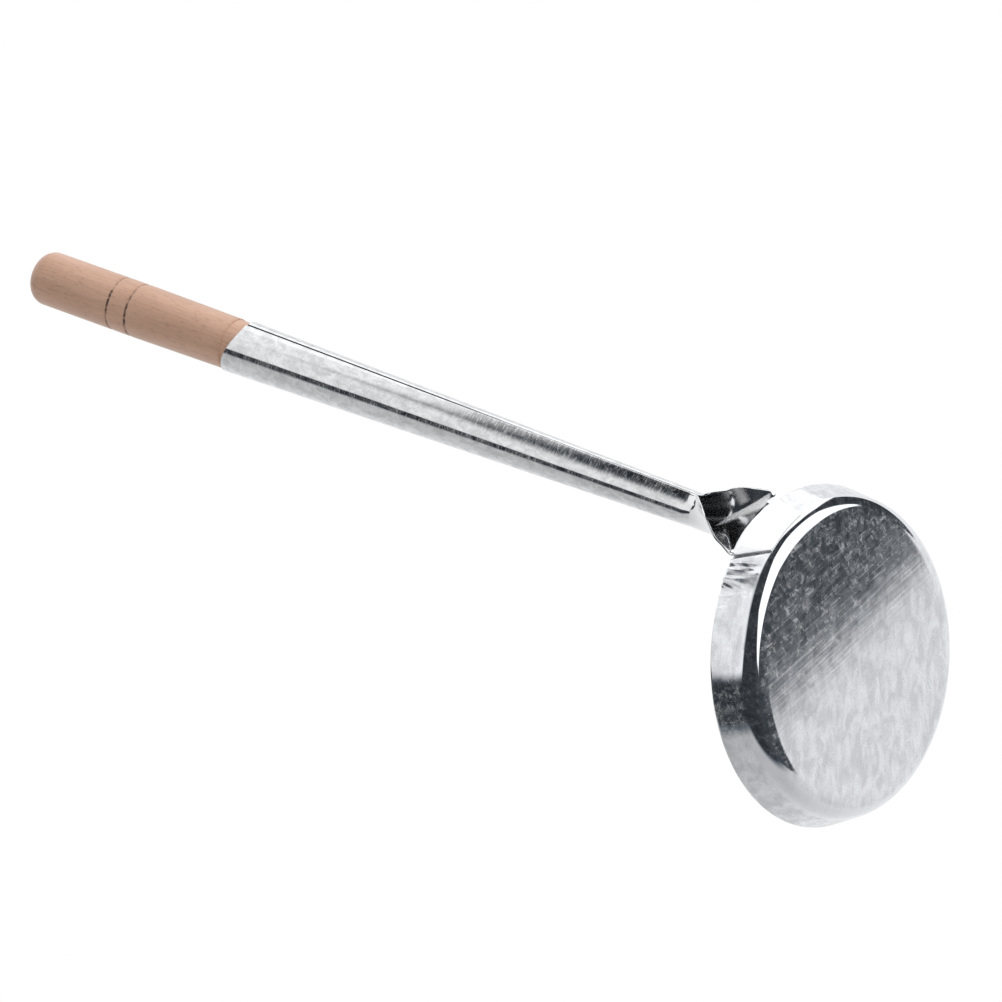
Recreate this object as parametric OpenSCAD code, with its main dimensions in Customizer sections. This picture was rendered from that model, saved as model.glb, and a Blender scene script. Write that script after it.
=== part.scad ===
// Frying spoon: a shallow round pan of galvanised sheet, with a handle rolled from a tapered strip.
// The strip laps the pan's wall as a saddle, bends in over the rim, rolls up into a long tapered
// tube whose seam faces outwards, and ends as a socket for a turned wooden grip.
// Millimetres. The origin is the centre of the pan's flat underside, +Z is up out of the pan,
// and the handle leans out over +X.

/* [Pan] */
// Outer diameter of the pan at its rim
rim_d = 100; // [96:1:130]
// Depth of the pan, from its underside to its rim
pan_depth = 13.3; // [11:0.1:20]
// Diameter of the flat bottom
flat_d = 83; // [70:0.5:86]
// Outer radius of the rounded bottom edge
bottom_r = 5.8; // [3:0.1:7]
// Thickness of the pan's sheet
pan_t = 0.6; // [0.4:0.05:1]

/* [Saddle and neck] */
// Thickness of the rolled strip
strip_t = 0.6; // [0.4:0.05:0.8]
// Gap between the saddle and the wall that it laps, filled at the welds
lap_gap = 0.1; // [0.05:0.05:0.3]
// Width of the saddle along its lower edge
saddle_low_w = 17; // [14:0.1:22]
// Width of the saddle where it leaves the wall
saddle_top_w = 24.4; // [20:0.1:30]
// Bare wall left between the rounded bottom edge and the saddle
saddle_clear = 0.3; // [0.2:0.1:2]
// Height that the saddle stands above the rim before the strip bends in
saddle_rise = 0.4; // [0.2:0.1:2]
// Length of the open neck, along the handle axis from the rim
neck_len = 18; // [13:0.5:25]
// How far the bent strip aims in past the rim before it turns up into the tube
neck_dip = 2.5; // [1:0.1:4]
// Height above the bend at which it aims there
neck_dip_z = 1.5; // [0.5:0.1:4]
// Length of the neck's upper end that already follows the tube
neck_lead = 7.5; // [3:0.5:9]
// How soon the strip curls on its way up the neck: 1 is steadily, less is sooner
neck_curl = 0.8; // [0.6:0.05:1.2]

/* [Rolled tube] */
// Lean of the handle away from the pan's axis, in degrees
lean = 22.9; // [12:0.1:35]
// How far inside the rim the handle axis passes, at rim level
root_inset = 1; // [0:0.1:4]
// Outer diameter of the tube where the strip has closed
neck_d = 10.2; // [8:0.1:14]
// Outer diameter of the tube at its open end
socket_d = 17.1; // [15:0.1:22]
// Length of the handle's metal, along the handle axis from the rim
shank_len = 180.7; // [120:0.1:260]
// Gap left open along the tube's seam
seam_gap = 0.4; // [0.2:0.1:1]
// Turn of the seam around the handle axis, away from the middle of the outer side, in degrees
seam_turn = 16; // [0:1:30]
// How far the strip's two end corners are set back at the seam
corner_cut = 4.9; // [1:0.1:8]

/* [Grip] */
// Diameter of the grip's straight part
grip_d = 16.9; // [15:0.1:24]
// How far the grip's shoulder stands out from the tenon, against the end of the socket
shoulder_step = 0.25; // [0.2:0.05:0.8]
// Length of the grip, from its shoulder to its butt
grip_len = 73.7; // [60:0.1:140]
// Radius of the rounded butt edge
butt_r = 4.5; // [1:0.1:7]
// Distance from the butt to the first groove
groove_back = 31.3; // [15:0.1:48]
// Distance between the two grooves
groove_pitch = 7; // [3:0.5:9]
// Width of each groove
groove_w = 1; // [0.5:0.1:1.6]
// Length of the tenon inside the socket
tenon_len = 55; // [35:1:80]
// Clearance around the tenon
tenon_clear = 0.15; // [0.05:0.05:0.3]

/* [Nail and welds] */
// Diameter of the nail that holds the grip
nail_d = 1.4; // [1:0.1:2]
// Length of the nail under its head
nail_len = 9; // [6:0.5:11]
// Diameter of the nail's head
nail_head_d = 3.2; // [2.6:0.1:5]
// Thickness of the nail's head
nail_head_t = 0.6; // [0.4:0.1:1]
// Distance from the nail back to the end of the socket
nail_back = 14; // [8:0.5:25]
// Clearance around the nail
nail_clear = 0.05; // [0.02:0.01:0.1]
// Diameter of each spot weld in the lap
weld_d = 3; // [2:0.1:4]
// Distance between neighbouring welds, along the lap
weld_pitch = 5.5; // [4.5:0.1:6]

/* [Hidden] */
$fn = 96;
// A cut reaches this far past the face that it opens.
over = 1;
// The neck's sheet lies this far inside the walls that it grows out of.
bury = 0.03;
neck_t = strip_t - 2 * bury;
// Least share of its thickness that a sheet shows to a section plane that it crosses at a slant
least_slant = 0.6;
// The neck runs on this far inside the saddle and inside the tube.
root_len = 1.5;
// Sheet divisions across the strip and along the neck
across = 40;
along = 16;
// Number of spot welds in the lap
weld_n = 3;

// The pan's wall is a cone that leaves the bottom radius smoothly and ends at the rim.
edge_c = [flat_d / 2, bottom_r];
edge_to_rim = [rim_d / 2, pan_depth] - edge_c;
flare = acos(bottom_r / norm(edge_to_rim)) - atan2(edge_to_rim.y, edge_to_rim.x);
wall_foot_z = bottom_r * (1 - sin(flare));

// Radius of the wall's face, or of a face parallel to it and further out, at height z
function wall_x(z, out = 0) = rim_d / 2 + (z - pan_depth) * tan(flare) + out / cos(flare);

// The saddle's span of height, and its faces' distances from the wall
saddle_z0 = wall_foot_z + saddle_clear;
saddle_z1 = pan_depth + saddle_rise;
saddle_mid = lap_gap + strip_t / 2;

// The handle axis, its radii, and the places along it
axis_x = rim_d / 2 - root_inset;
taper = (socket_d - neck_d) / 2 / (shank_len - neck_len);
shoulder_s = shank_len;
butt_s = shoulder_s + grip_len;
nail_s = shank_len - nail_back;

// The tube's end is cut on a curve. It falls to the seam, less at the sides, and this is its radius.
end_bow = corner_cut / 4;
end_r = (pow(socket_d / 2, 2) + pow(end_bow, 2)) / 2 / end_bow;

// Outer radius of the tube at a distance s along the handle axis
function tube_r(s) = neck_d / 2 + (s - neck_len) * taper;

// A point of the symmetry plane, [x, z], given by its place along the handle axis and outwards from it
function on_axis(s, out) = [axis_x, pan_depth]
    + s * [sin(lean), cos(lean)]
    + out * [cos(lean), -sin(lean)];

function lerp(a, b, t) = a + (b - a) * t;

function bezier(p, t) = p[0] * pow(1 - t, 3)
    + p[1] * 3 * t * pow(1 - t, 2)
    + p[2] * 3 * t * t * (1 - t)
    + p[3] * pow(t, 3);

function bezier_run(p, t) = (p[1] - p[0]) * pow(1 - t, 2)
    + (p[2] - p[1]) * 2 * t * (1 - t)
    + (p[3] - p[2]) * t * t;

// Places parts along the handle: local Z runs up the handle axis, and local X faces the seam.
module along_handle() {
    translate([axis_x, 0, pan_depth])
        rotate([0, lean, 0])
            children();
}

// Half of the pan's outline, moved in by a sheet thickness.
module pan_outline(inset, top) {
    r = bottom_r - inset;
    foot = edge_c + r * [cos(flare), -sin(flare)];
    polygon([
        [0, inset],
        [edge_c.x, inset],
        foot,
        [wall_x(top, -inset), top],
        [0, top]
    ]);
    translate(edge_c)
        circle(r);
}

module pan() {
    color("silver")
        rotate_extrude()
            difference() {
                intersection() {
                    pan_outline(0, pan_depth);
                    square([rim_d, pan_depth]);
                }
                pan_outline(pan_t, pan_depth + over);
            }
}

// A sheet parallel to the wall, all round, between two distances out from it.
module wall_sheet(out0, out1, z0, z1) {
    rotate_extrude()
        polygon([
            [wall_x(z0, out0), z0],
            [wall_x(z0, out1), z0],
            [wall_x(z1, out1), z1],
            [wall_x(z1, out0), z1]
        ]);
}

// The saddle: the part of such a sheet that lies within the strip's narrowing end.
module saddle() {
    intersection() {
        wall_sheet(lap_gap, lap_gap + strip_t, saddle_z0, saddle_z1);
        rotate([90, 0, 90])
            linear_extrude(rim_d)
                polygon([
                    [-saddle_low_w / 2, saddle_z0],
                    [saddle_low_w / 2, saddle_z0],
                    [saddle_top_w / 2, saddle_z1],
                    [-saddle_top_w / 2, saddle_z1]
                ]);
    }
}

// Across the strip, each section of the neck is an arc of one curvature. A section is
// [middle point, tilt of its plane, half width, half angle, half thickness, turn along the arc].
function saddle_section(z) =
    let (
        r = wall_x(z, saddle_mid),
        fall = (saddle_z1 - z) * (saddle_top_w - saddle_low_w) / 2 / (saddle_z1 - saddle_z0),
        reach = saddle_top_w / 2 - fall - bury,
        half_angle = asin(reach / (r + strip_t))
    )
    [[r, z], 0, r * half_angle * PI / 180, -half_angle, neck_t / 2, 0];

function tube_section(s) =
    let (
        r = tube_r(s) - strip_t / 2,
        half_angle = 180 - asin((seam_gap / 2 + bury) / (r - strip_t / 2))
    )
    [on_axis(s, -r), lean, r * half_angle * PI / 180, half_angle, neck_t / 2, -seam_turn / half_angle];

neck_start = saddle_section(saddle_z1);
neck_end = tube_section(neck_len);
neck_line = [
    neck_start[0],
    neck_start[0] + [-neck_dip, neck_dip_z],
    neck_end[0] - neck_lead * [sin(lean), cos(lean)],
    neck_end[0]
];

function neck_section(t) =
    let (
        tilt = lerp(neck_start[1], neck_end[1], t),
        run = bezier_run(neck_line, t),
        slant = cos(atan2(run.x, run.y) - tilt)
    )
    [
        bezier(neck_line, t),
        tilt,
        lerp(neck_start[2], neck_end[2], t),
        lerp(neck_start[3], neck_end[3], pow(t, neck_curl)),
        t == 0 ? neck_t / 2 : neck_t / 2 / max(slant, least_slant),
        lerp(neck_start[5], neck_end[5], t)
    ];

// A point of a section, at a share of its half width and a distance out from its middle surface
function section_point(sec, share, out) =
    let (
        bend = abs(sec[3]) < 0.01 ? 0.01 : sec[3],
        r = sec[2] / (bend * PI / 180),
        angle = bend * (share + sec[5]),
        y = (r - out) * sin(angle),
        h = r - (r - out) * cos(angle)
    )
    [sec[0].x + h * cos(sec[1]), y, sec[0].y - h * sin(sec[1])];

// Once round a section: along its outward face and back along the other.
function section_ring(sec) = concat(
    [for (i = [0:across]) section_point(sec, 2 * i / across - 1, sec[4])],
    [for (i = [across:-1:0]) section_point(sec, 2 * i / across - 1, -sec[4])]
);

module neck() {
    sections = concat(
        [saddle_section(saddle_z1 - root_len)],
        [for (i = [0:along]) neck_section(i / along)],
        [tube_section(neck_len + root_len)]
    );
    ring_n = 2 * (across + 1);
    last = (len(sections) - 1) * ring_n;
    sides = [
        for (i = [0:len(sections) - 2], j = [0:ring_n - 1])
            let (
                a = i * ring_n + j,
                b = i * ring_n + (j + 1) % ring_n
            )
            each [[a, b + ring_n, b], [a, a + ring_n, b + ring_n]]
    ];
    ends = [
        for (j = [0:across - 1])
            let (back = ring_n - 1 - j)
            each [
                [j, j + 1, back],
                [j + 1, back - 1, back],
                [last + j + 1, last + j, last + back],
                [last + j + 1, last + back, last + back - 1]
            ]
    ];
    polyhedron([for (s = sections) each section_ring(s)], concat(sides, ends), convexity = 6);
}

// The rolled tube, with its seam open by the gap and its end corners set back at the seam.
module tube() {
    end_s = shank_len + over;
    seam_angle = seam_gap / (PI * neck_d) * 360;
    difference() {
        rotate([0, 0, seam_turn + seam_angle / 2])
            rotate_extrude(angle = 360 - seam_angle)
                polygon([
                    [tube_r(neck_len) - strip_t, neck_len],
                    [tube_r(neck_len), neck_len],
                    [tube_r(end_s), end_s],
                    [tube_r(end_s) - strip_t, end_s]
                ]);
        rotate([0, 0, seam_turn])
            translate([0, 0, shank_len - corner_cut / 2])
                rotate([0, atan(corner_cut / socket_d), 0])
                    translate([0, 0, end_r])
                        rotate([0, 90, 0])
                            cylinder(r = end_r, h = 3 * socket_d, center = true);
        nail_bore();
    }
}

module shank() {
    color("lightgray")
        union() {
            saddle();
            neck();
            along_handle()
                tube();
        }
}

module nail_bore() {
    translate([0, 0, nail_s])
        rotate([0, -90, 0])
            translate([0, 0, tube_r(nail_s) - nail_len - nail_clear])
                cylinder(d = nail_d + 2 * nail_clear, h = nail_len + over);
}

// Thin discs of fused metal that fill the lap between the saddle and the wall.
module spot_welds() {
    weld_z = (saddle_z0 + pan_depth) / 2;
    color("gray")
        intersection() {
            wall_sheet(0, lap_gap, saddle_z0, pan_depth);
            for (i = [0:weld_n - 1])
                translate([0, (i - (weld_n - 1) / 2) * weld_pitch, weld_z])
                    rotate([0, 90, 0])
                        cylinder(d = weld_d, h = rim_d);
        }
}

module grip() {
    color("burlywood")
        along_handle()
            difference() {
                rotate_extrude()
                    grip_outline();
                for (i = [0:1])
                    translate([0, 0, butt_s - groove_back - i * groove_pitch])
                        rotate_extrude()
                            translate([grip_d / 2, 0])
                                circle(d = groove_w);
                nail_bore();
            }
}

// Half of the turned outline: tenon, shoulder, taper, straight part and rounded butt.
module grip_outline() {
    tenon_s = shoulder_s - tenon_len;
    straight_s = butt_s - groove_back - groove_pitch - groove_w;
    function tenon_r(s) = tube_r(s) - strip_t - tenon_clear;
    polygon([
        [0, tenon_s],
        [tenon_r(tenon_s), tenon_s],
        [tenon_r(shoulder_s), shoulder_s],
        [tenon_r(shoulder_s) + shoulder_step, shoulder_s],
        [grip_d / 2, straight_s],
        [grip_d / 2, butt_s - butt_r],
        [grip_d / 2 - butt_r, butt_s - butt_r],
        [grip_d / 2 - butt_r, butt_s],
        [0, butt_s]
    ]);
    translate([grip_d / 2 - butt_r, butt_s - butt_r])
        intersection() {
            circle(butt_r);
            square(butt_r);
        }
}

module grip_nail() {
    color("dimgray")
        along_handle()
            translate([0, 0, nail_s])
                rotate([0, -90, 0])
                    translate([0, 0, tube_r(nail_s)]) {
                        translate([0, 0, -nail_len])
                            cylinder(d = nail_d, h = nail_len);
                        cylinder(d = nail_head_d, h = nail_head_t);
                    }
}

pan();
shank();
spot_welds();
grip();
grip_nail();
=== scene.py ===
# Frying spoon: a pan of galvanised sheet, a handle rolled from a tapered strip, and a turned wooden grip.
# Lengths are in millimetres and angles in degrees. MM turns lengths into the frame's metres.
import math

import bpy
import numpy as np
from mathutils import Matrix, Vector


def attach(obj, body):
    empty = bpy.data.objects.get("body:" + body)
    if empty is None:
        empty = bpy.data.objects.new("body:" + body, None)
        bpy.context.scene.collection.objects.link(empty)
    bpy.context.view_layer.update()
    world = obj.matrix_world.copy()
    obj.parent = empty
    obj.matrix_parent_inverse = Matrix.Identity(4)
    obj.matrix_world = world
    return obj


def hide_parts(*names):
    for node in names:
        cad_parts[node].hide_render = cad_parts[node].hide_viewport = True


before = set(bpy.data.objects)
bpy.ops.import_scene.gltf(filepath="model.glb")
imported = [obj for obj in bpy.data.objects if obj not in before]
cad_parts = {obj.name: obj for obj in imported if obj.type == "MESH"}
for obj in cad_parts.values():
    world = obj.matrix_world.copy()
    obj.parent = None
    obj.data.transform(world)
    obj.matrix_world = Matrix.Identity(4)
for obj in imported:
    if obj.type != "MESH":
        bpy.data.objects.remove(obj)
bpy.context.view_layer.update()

MM = 0.001

# Pan
RIM_R = 50.0
PAN_DEPTH = 13.3
FLAT_R = 41.5
BOTTOM_R = 5.8
PAN_T = 0.6

# Strip, saddle and neck
STRIP_T = 0.6
LAP_GAP = 0.1
SADDLE_LOW_W = 17.0
SADDLE_TOP_W = 24.4
SADDLE_LOWER = 0.5
SADDLE_RISE = 0.4
NECK_LEN = 18.0
NECK_DIP = 0.8
NECK_DIP_Z = 4.2
NECK_LEAD = 7.5
NECK_CURL = 0.8

# Rolled tube
LEAN = math.radians(22.9)
ROOT_INSET = 1.0
NECK_R = 5.1
SOCKET_R = 8.55
SHANK_LEN = 180.7
SEAM_GAP = 0.6
SEAM_TURN = math.radians(16.0)
CORNER_CUT = 4.9

# Grip and nail
GRIP_R = 8.45
SHOULDER_STEP = 0.25
GRIP_LEN = 73.7
BUTT_R = 4.5
GROOVE_BACK = 31.3
GROOVE_PITCH = 7.0
GROOVE_W = 0.9
TENON_LEN = 55.0
TENON_CLEAR = 0.15
NAIL_D = 1.4
NAIL_LEN = 9.0
NAIL_HEAD_D = 3.2
NAIL_HEAD_T = 0.6
NAIL_BACK = 14.0

# The wall of the pan is a cone that leaves the bottom radius smoothly.
EDGE_TO_RIM = (RIM_R - FLAT_R, PAN_DEPTH - BOTTOM_R)
FLARE = math.acos(BOTTOM_R / math.hypot(*EDGE_TO_RIM)) - math.atan2(EDGE_TO_RIM[1], EDGE_TO_RIM[0])
WALL_FOOT_Z = BOTTOM_R * (1 - math.sin(FLARE))
SADDLE_Z0 = WALL_FOOT_Z - SADDLE_LOWER
SADDLE_Z1 = PAN_DEPTH + SADDLE_RISE

# The handle axis starts over the rim. U runs along it, and O faces outwards from it, away from the pan.
ROOT = np.array([RIM_R - ROOT_INSET, 0.0, PAN_DEPTH])
U = np.array([math.sin(LEAN), 0.0, math.cos(LEAN)])
O = np.array([math.cos(LEAN), 0.0, -math.sin(LEAN)])
Y = np.array([0.0, 1.0, 0.0])
TAPER = (SOCKET_R - NECK_R) / (SHANK_LEN - NECK_LEN)
BUTT_S = SHANK_LEN + GRIP_LEN
NAIL_S = SHANK_LEN - NAIL_BACK
END_BOW = CORNER_CUT / 4
END_R = (SOCKET_R ** 2 + END_BOW ** 2) / 2 / END_BOW
GROOVES = [BUTT_S - GROOVE_BACK - i * GROOVE_PITCH for i in range(2)]


def wall_x(z, out=0.0):
    """Radius of the wall's outer face, or of a face parallel to it and further out, at height z."""
    return RIM_R + (z - PAN_DEPTH) * math.tan(FLARE) + out / math.cos(FLARE)


def tube_r(s):
    """Outer radius of the tube at a distance s along the handle axis."""
    return NECK_R + (s - NECK_LEN) * TAPER


def smooth_step(x, low, high):
    """0 below low, 1 above high and a smooth rise between them."""
    t = np.clip((x - low) / (high - low), 0.0, 1.0)
    return t * t * (3 - 2 * t)


def ripple(seed, count, *axes):
    """A wavy field of about unit height: sine waves over coordinates, each with its shortest wave."""
    draw = np.random.default_rng(seed)
    total = 0.0
    for _ in range(count):
        phase = draw.uniform(0, 2 * math.pi)
        for values, shortest in axes:
            phase = phase + values * draw.uniform(-2 * math.pi, 2 * math.pi) / shortest
        total = total + np.sin(phase)
    return total / math.sqrt(count)


# Meshes

def add_piece(name, points, faces, material, node, crease=40.0):
    """A smooth-shaded mesh from points in millimetres, which rides on the part and stands for a node."""
    mesh = bpy.data.meshes.new(name)
    mesh.from_pydata((np.asarray(points) * MM).tolist(), [], faces)
    mesh.validate()
    mesh.shade_smooth()
    mesh.set_sharp_from_angle(angle=math.radians(crease))
    mesh.materials.append(material)
    piece = bpy.data.objects.new(name, mesh)
    bpy.context.scene.collection.objects.link(piece)
    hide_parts(node)
    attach(piece, "root")
    return piece


def ring_faces(rings, ring_n):
    """Quads that join each closed ring of points to the next one."""
    faces = []
    for i in range(rings - 1):
        for j in range(ring_n):
            k = (j + 1) % ring_n
            faces.append((i * ring_n + j, i * ring_n + k, (i + 1) * ring_n + k, (i + 1) * ring_n + j))
    return faces


def turned(turn, radius, along, origin, axes, ends):
    """A solid turned on an axis: its radius and place along it by ring and turn, closed at two points."""
    across, aside, axis = axes
    spokes = np.cos(turn)[:, None] * across + np.sin(turn)[:, None] * aside
    points = origin + along[..., None] * axis + radius[..., None] * spokes
    points = np.vstack([points.reshape(-1, 3), [origin + s * axis for s in ends]])
    rings, turns = radius.shape
    faces = ring_faces(rings, turns)
    first = rings * turns
    for j in range(turns):
        k = (j + 1) % turns
        faces.append((first, k, j))
        faces.append((first + 1, first - turns + j, first - turns + k))
    return points, faces


def arc(centre, radius, start, stop, steps):
    """Points of an arc in the half plane (radius, height), from one angle to another."""
    turn = np.radians(np.linspace(start, stop, steps + 1))
    return [(centre[0] + radius * math.cos(a), centre[1] + radius * math.sin(a)) for a in turn]


def line(start, stop, steps):
    """Points of a straight run, without its first point."""
    start, run = np.array(start), np.array(stop) - np.array(start)
    return [tuple(start + run * i / steps) for i in range(1, steps + 1)]


# Pan

# Creases in the wall beside the saddle: the angle from the handle's plane at the rim, the change of angle
# for each millimetre down, the depth, the half width, and the heights over which the crease fades in
CREASES = (
    (-15.7, 0.24, -0.14, 0.40, 4.0, 12.0),
    (-17.6, 0.05, -0.16, 0.40, 5.0, 13.3),
    (-20.9, -0.12, -0.14, 0.50, 6.0, 12.5),
    (-23.4, -0.22, -0.34, 0.55, 9.0, 13.3),
    (-27.2, -0.08, -0.16, 0.40, 8.0, 13.3),
    (-31.5, 0.25, -0.07, 0.60, 7.0, 12.5),
    (15.6, -0.24, 0.04, 0.50, 3.6, 7.0),
    (17.6, -0.10, 0.03, 0.45, 6.5, 10.0),
    (20.2, 0.12, 0.03, 0.50, 7.0, 11.0),
    (24.6, 0.05, 0.02, 0.60, 8.0, 12.0),
)
# Dimples and bumps crumple the wall beside the saddle: how many, the seed of their draw, the angles between
# which they lie, their least height, their greatest depth, and how wide, how tall and how slanted they are
CRUMPLES = 90
CRUMPLE_SEED = 12
CRUMPLE_FROM = -36.0
CRUMPLE_TO = -14.5
CRUMPLE_LOW = 5.0
CRUMPLE_DEPTH = 0.07
CRUMPLE_ACROSS = (0.3, 0.65)
CRUMPLE_UP = (1.2, 4.0)
CRUMPLE_SLANT = (-0.3, 0.3)
# Beside the saddle the wall leans out from its foot, by this much at the rim. The lean sets in over
# LEAN_RISE from the saddle's edge, whose angles at the foot and the rim these are, and fades further on.
LEAN_OUT = 0.5
LEAN_EDGE = (-7.9, -13.2)
LEAN_RISE = 1.3
LEAN_FADE = (-21.5, -25.0)
# Faint flutes in the whole wall: their depth, the seed and number of their waves, and their shortest wave in
# degrees round the pan and in height
FLUTE_DEPTH = 0.03
FLUTE_SEED = 4
FLUTE_WAVES = 5
FLUTE_ROUND = 9.0
FLUTE_UP = 40.0
# The cut rim is a little rounded, and the mesh is finer beside the handle than round the rest of the pan.
RIM_ROUND = 0.18
WALL_ROWS = 28
TURN_STEPS = 20
FLAT_STEPS = 9
FLAT_EDGE = 2.0
FLAT_EDGE_STEPS = 3
NEAR_TURN = 36.0
NEAR_STEP = 0.3
FAR_STEPS = 240


def pan_outline():
    """Half outline of the sheet: out under the bottom, up the wall, over the rim and back inside."""
    flare = math.degrees(FLARE)
    centre = (FLAT_R, BOTTOM_R)
    inner_top = (wall_x(PAN_DEPTH, -PAN_T), PAN_DEPTH)
    outer = line((0, 0), (FLAT_R - FLAT_EDGE, 0), FLAT_STEPS)[:-1]
    outer += line((FLAT_R - FLAT_EDGE, 0), (FLAT_R, 0), FLAT_EDGE_STEPS)[:-1]
    outer += arc(centre, BOTTOM_R, -90, -flare, TURN_STEPS)
    outer += line(outer[-1], (wall_x(PAN_DEPTH - RIM_ROUND), PAN_DEPTH - RIM_ROUND), WALL_ROWS)
    rim_in = 0.3 * RIM_ROUND
    rim = [(RIM_R - rim_in, PAN_DEPTH - rim_in), (RIM_R - RIM_ROUND, PAN_DEPTH)]
    rim += [(inner_top[0] + RIM_ROUND, PAN_DEPTH), (inner_top[0] + rim_in, PAN_DEPTH - rim_in)]
    inner = [(wall_x(PAN_DEPTH - RIM_ROUND, -PAN_T), PAN_DEPTH - RIM_ROUND)]
    turn = arc(centre, BOTTOM_R - PAN_T, -flare, -90, TURN_STEPS)
    inner += line(inner[0], turn[0], WALL_ROWS)[:-1] + turn
    inner += line((FLAT_R, PAN_T), (0, PAN_T), FLAT_STEPS)[:-1]
    return np.array(outer + rim + inner)


def pan_turns():
    """Angles round the pan, closer together beside the handle, where the wall is puckered."""
    near = np.arange(-NEAR_TURN, NEAR_TURN, NEAR_STEP)
    far = np.linspace(NEAR_TURN, 360 - NEAR_TURN, FAR_STEPS + 1)[:-1]
    return np.radians(np.concatenate([near, far]))


def crumples(degrees, z):
    """Narrow dimples and bumps up the wall, closest together and strongest next to the saddle."""
    draw = np.random.default_rng(CRUMPLE_SEED)
    total = np.zeros_like(degrees)
    for _ in range(CRUMPLES):
        near = draw.uniform(0, 1) ** 1.7
        place = CRUMPLE_TO + (CRUMPLE_FROM - CRUMPLE_TO) * near
        middle = draw.uniform(CRUMPLE_LOW, PAN_DEPTH)
        half_across = draw.uniform(*CRUMPLE_ACROSS)
        half_up = draw.uniform(*CRUMPLE_UP)
        slant = draw.uniform(*CRUMPLE_SLANT)
        depth = CRUMPLE_DEPTH * draw.uniform(-1, 1) * (1 - 0.8 * near)
        across = np.radians(degrees - place) * RIM_R + slant * (z - middle)
        total += depth * np.exp(-(across / half_across) ** 2 - ((z - middle) / half_up) ** 2)
    return total * smooth_step(z, 4.0, 6.0)


def wall_dent(turn, z):
    """How far the wall is pushed in, by creases, crumples, its lean and flutes."""
    degrees = np.degrees((turn + math.pi) % (2 * math.pi) - math.pi)
    down = PAN_DEPTH - z
    dent = np.zeros_like(degrees)
    for place, slant, depth, half_width, fade_low, fade_high in CREASES:
        off = np.radians(degrees - place - slant * down) * RIM_R / half_width
        dent += depth * np.exp(-off * off) * smooth_step(z, fade_low, fade_high)
    dent += crumples(degrees, z)
    up = np.clip((z - WALL_FOOT_Z) / (PAN_DEPTH - WALL_FOOT_Z), 0.0, 1.0)
    past_edge = LEAN_EDGE[0] + (LEAN_EDGE[1] - LEAN_EDGE[0]) * up - degrees
    leaning = smooth_step(past_edge, 0.0, LEAN_RISE) * smooth_step(degrees, LEAN_FADE[1], LEAN_FADE[0])
    dent -= leaning * LEAN_OUT * up
    flutes = 0.5 + 0.5 * ripple(FLUTE_SEED, FLUTE_WAVES, (degrees, FLUTE_ROUND), (z, FLUTE_UP))
    dent += FLUTE_DEPTH * flutes * smooth_step(z, 2.5, 7.0)
    return dent


def make_pan(material):
    outline = pan_outline()
    turns = pan_turns()
    radius, turn = np.meshgrid(outline[:, 0], turns, indexing="ij")
    height = np.repeat(outline[:, 1:2], len(turns), axis=1)
    radius = radius - wall_dent(turn, height)
    points, faces = turned(turns, radius, height, np.zeros(3), np.eye(3), (0.0, PAN_T))
    return add_piece("pan_pressed", points, faces, material, "pan")


# Shank: one strip, followed along its length by sections that are arcs across it

# Mesh: columns across the strip and round its edges, and rows along it. The bend takes in this much of the
# saddle's height and this share of the neck.
ACROSS = 120
EDGE_STEPS = 5
EDGE_SQUARE = 0.6
SADDLE_ROWS = 10
BEND_ROWS = 16
BEND_HEIGHT = 3.2
BEND_SHARE = 0.2
BEND_PASSES = 8
NECK_ROWS = 45
TUBE_ROWS = 64
END_ROWS = 16
END_RUN = 14.0
# The strip was bent by hand: its saddle sits to one side, by this much at the foot and at the rim, and is
# spread a little at the rim. That fades out over the first of the neck.
SIDE_FOOT = 2.5
SIDE_RIM = 1.45
SIDE_SPREAD = 0.65
SIDE_FADE = 0.3
# The corner on that side springs out at the rim, from this share of the half width and this height on, and
# comes back over the first of the neck.
CORNER_SPRING = 1.0
SPRING_FROM = 0.74
SPRING_Z = 8.0
SPRING_FADE = 0.16
# Over the rim the strip is pressed to a three-cornered floor, which runs from the fold to a point in the
# trough, at these shares of the neck's length and of its half width, and is a little twisted.
FLOOR_END = 0.6
FLOOR_SHARE = 0.12
FLOOR_TWIST = 0.5
FLOOR_PASSES = 24
# The lip on the near side is drawn in, between these shares of the neck's length.
NEAR_IN = 0.9
NEAR_IN_FROM = (0.0, 0.15)
NEAR_IN_TO = (0.35, 0.75)
# The lip on the far side opens and then closes: by what angle, at what share of the neck and how widely.
LIP_OPEN = (0.10, 0.68, 0.10)
LIP_CLOSE = (0.13, 0.91, 0.06)
# Beside the seam one lip of the strip is flatter than the round of the tube, over this angle: it stands out
# by this share of the radius at the neck and at the socket.
LIP_ANGLE = 0.45
LIP_FLAT = (0.085, 0.035)


def section(mid, tilt, half_width, half_angle, turn):
    """An arc across the strip: its middle point, tilt, half width, half angle and turn along the arc."""
    return dict(mid=np.array(mid), tilt=tilt, half_width=half_width, half_angle=half_angle, turn=turn)


def saddle_section(z):
    r = wall_x(z, LAP_GAP + STRIP_T / 2)
    share = (z - SADDLE_Z0) / (SADDLE_Z1 - SADDLE_Z0)
    reach = (SADDLE_LOW_W + (SADDLE_TOP_W - SADDLE_LOW_W) * share - STRIP_T) / 2
    half_angle = math.asin(reach / r)
    return section((r, z), 0.0, r * half_angle, -half_angle, 0.0)


def tube_section(s):
    r = tube_r(s) - STRIP_T / 2
    half_angle = math.pi - (SEAM_GAP + STRIP_T) / 2 / r
    mid = ROOT + s * U - r * O
    tube = section((mid[0], mid[2]), LEAN, r * half_angle, half_angle, -SEAM_TURN / half_angle)
    tube["flat"] = r * np.interp(s, (NECK_LEN, SHANK_LEN), LIP_FLAT)
    return tube


def swell(t, height, middle, width):
    """A smooth rise to a height and back, round a middle."""
    return height * math.exp(-((t - middle) / width) ** 2)


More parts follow.
